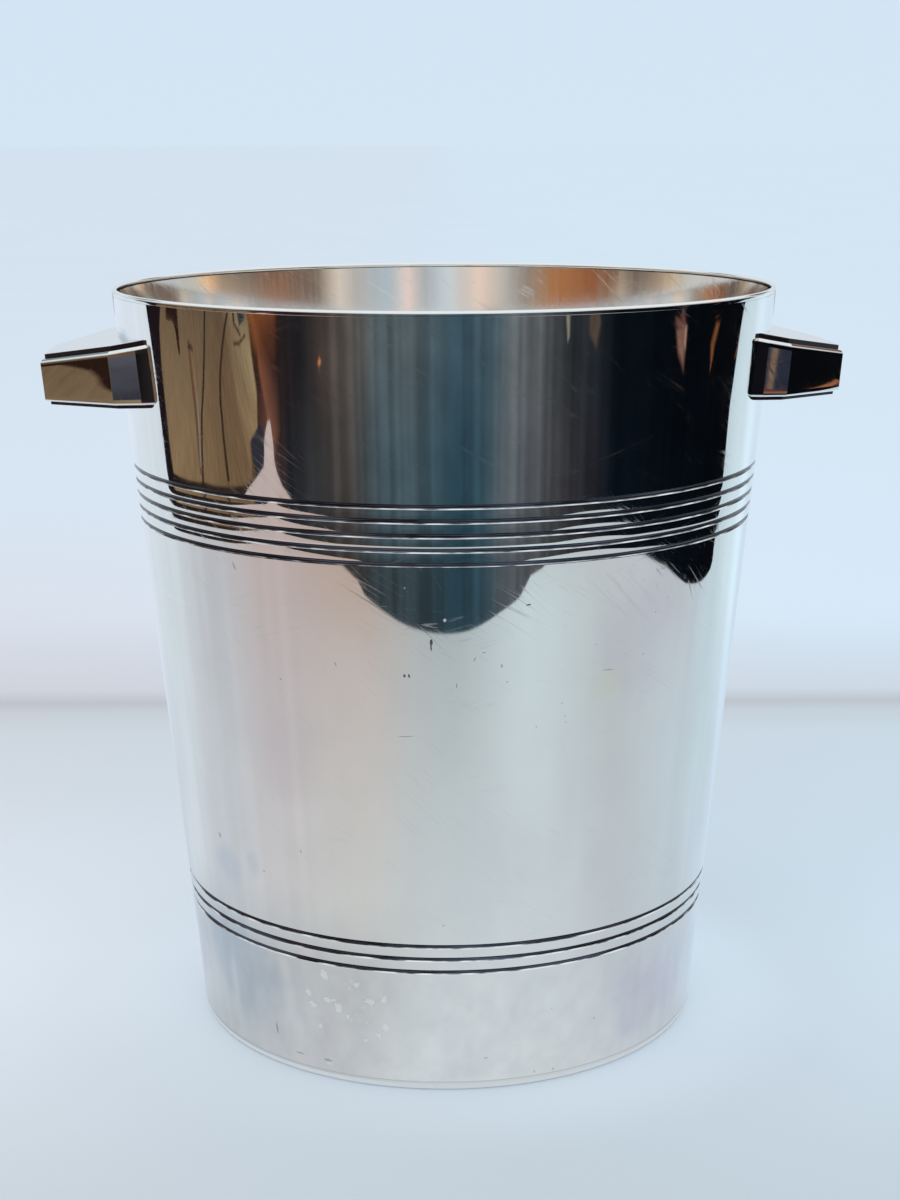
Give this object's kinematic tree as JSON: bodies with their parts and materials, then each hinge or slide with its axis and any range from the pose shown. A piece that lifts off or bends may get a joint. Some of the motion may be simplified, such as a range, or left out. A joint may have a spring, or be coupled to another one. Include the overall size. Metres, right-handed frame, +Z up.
{
  "type": "champagne bucket",
  "caption": "Tapered silver-plated champagne bucket with turned reeding, wired rim, foot ring, let-in bottom and a stepped ear handle on each side.",
  "frame": {"origin": "centre of the foot ring, on the plane it rests on", "axes": "+Z up, +X through the right handle, +Y away from the viewer's side; the handles lie along X"},
  "size_m": [0.2338, 0.1928, 0.22],
  "materials": {
    "polished_plate": "polished",
    "rim_plate": "polished",
    "foot_plate": "polished",
    "base_plate": "polished",
    "handle_plate": "polished",
    "handle_cover_plate": "polished"
  },
  "bodies": {
    "root": {"body_wall": "polished_plate", "rim_wire": "rim_plate", "foot_ring": "foot_plate", "base_disc": "base_plate", "left_handle_band": "handle_plate", "left_handle_top_plate": "handle_cover_plate", "left_handle_bottom_plate": "handle_cover_plate", "right_handle_band": "handle_plate", "right_handle_top_plate": "handle_cover_plate", "right_handle_bottom_plate": "handle_cover_plate"}
  },
  "joints": []
}
